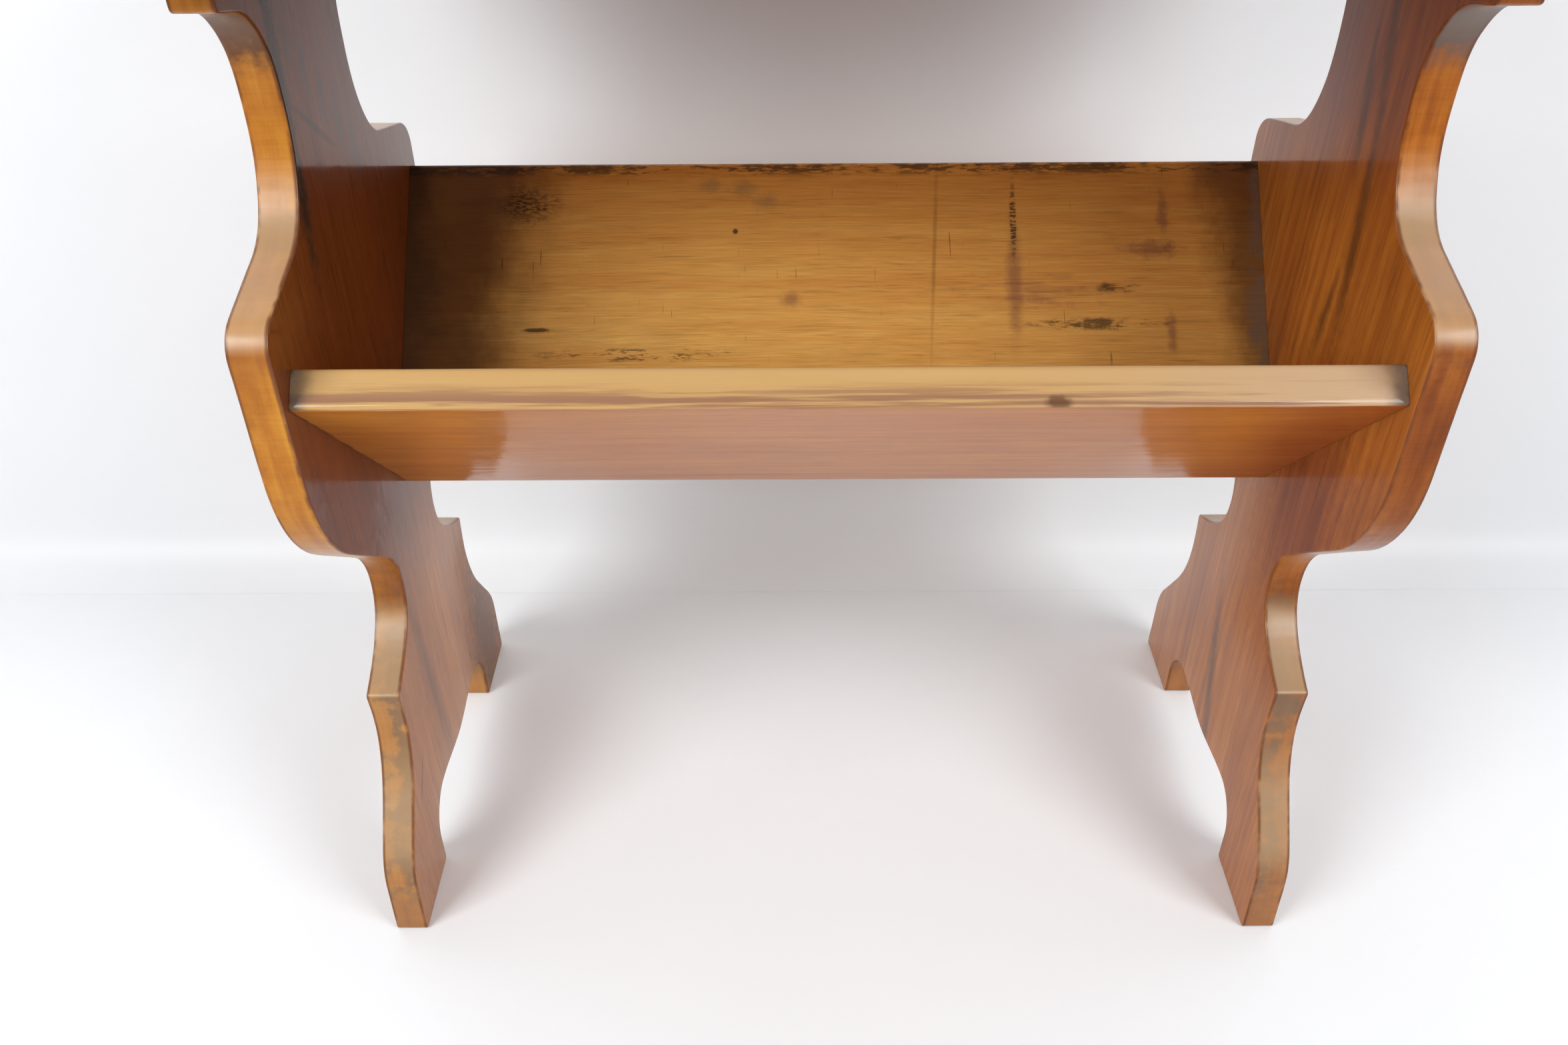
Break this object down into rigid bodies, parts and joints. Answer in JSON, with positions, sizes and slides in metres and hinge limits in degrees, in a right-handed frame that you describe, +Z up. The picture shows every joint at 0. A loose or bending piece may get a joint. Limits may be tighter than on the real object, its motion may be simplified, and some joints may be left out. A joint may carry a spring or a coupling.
{
  "type": "side table with book trough",
  "caption": "Varnished timber side table: scroll-sawn end panels carry a flat top and, below it, an open V-shaped trough for books or magazines.",
  "frame": {"origin": "on the floor, midway between the end panels and midway front to back", "axes": "+X runs along the trough towards the right-hand end panel, -Y is the front, +Z is up"},
  "size_m": [0.64, 0.3, 0.6],
  "materials": {
    "panel_wood": "honey-brown varnish, satin gloss, upright grain",
    "trough_wood": "honey-brown varnish, satin gloss, lengthwise grain, ink and dirt marks",
    "top_wood": "honey-brown varnish, satin gloss, lengthwise grain",
    "cleat_wood": "honey-brown varnish",
    "plug_wood": "varnished flush with the panel",
    "dowel_wood": "bare beech",
    "screw_steel": "zinc-plated"
  },
  "bodies": {
    "root": {"end_panel_left": "panel_wood", "end_panel_right": "panel_wood", "trough_front_board": "trough_wood", "trough_back_board": "trough_wood", "top_board": "top_wood", "top_cleat_left": "cleat_wood", "top_cleat_right": "cleat_wood", "cleat_screws": "screw_steel", "trough_end_screws": "screw_steel", "screw_plugs": "plug_wood", "trough_dowels": "dowel_wood"}
  },
  "joints": []
}
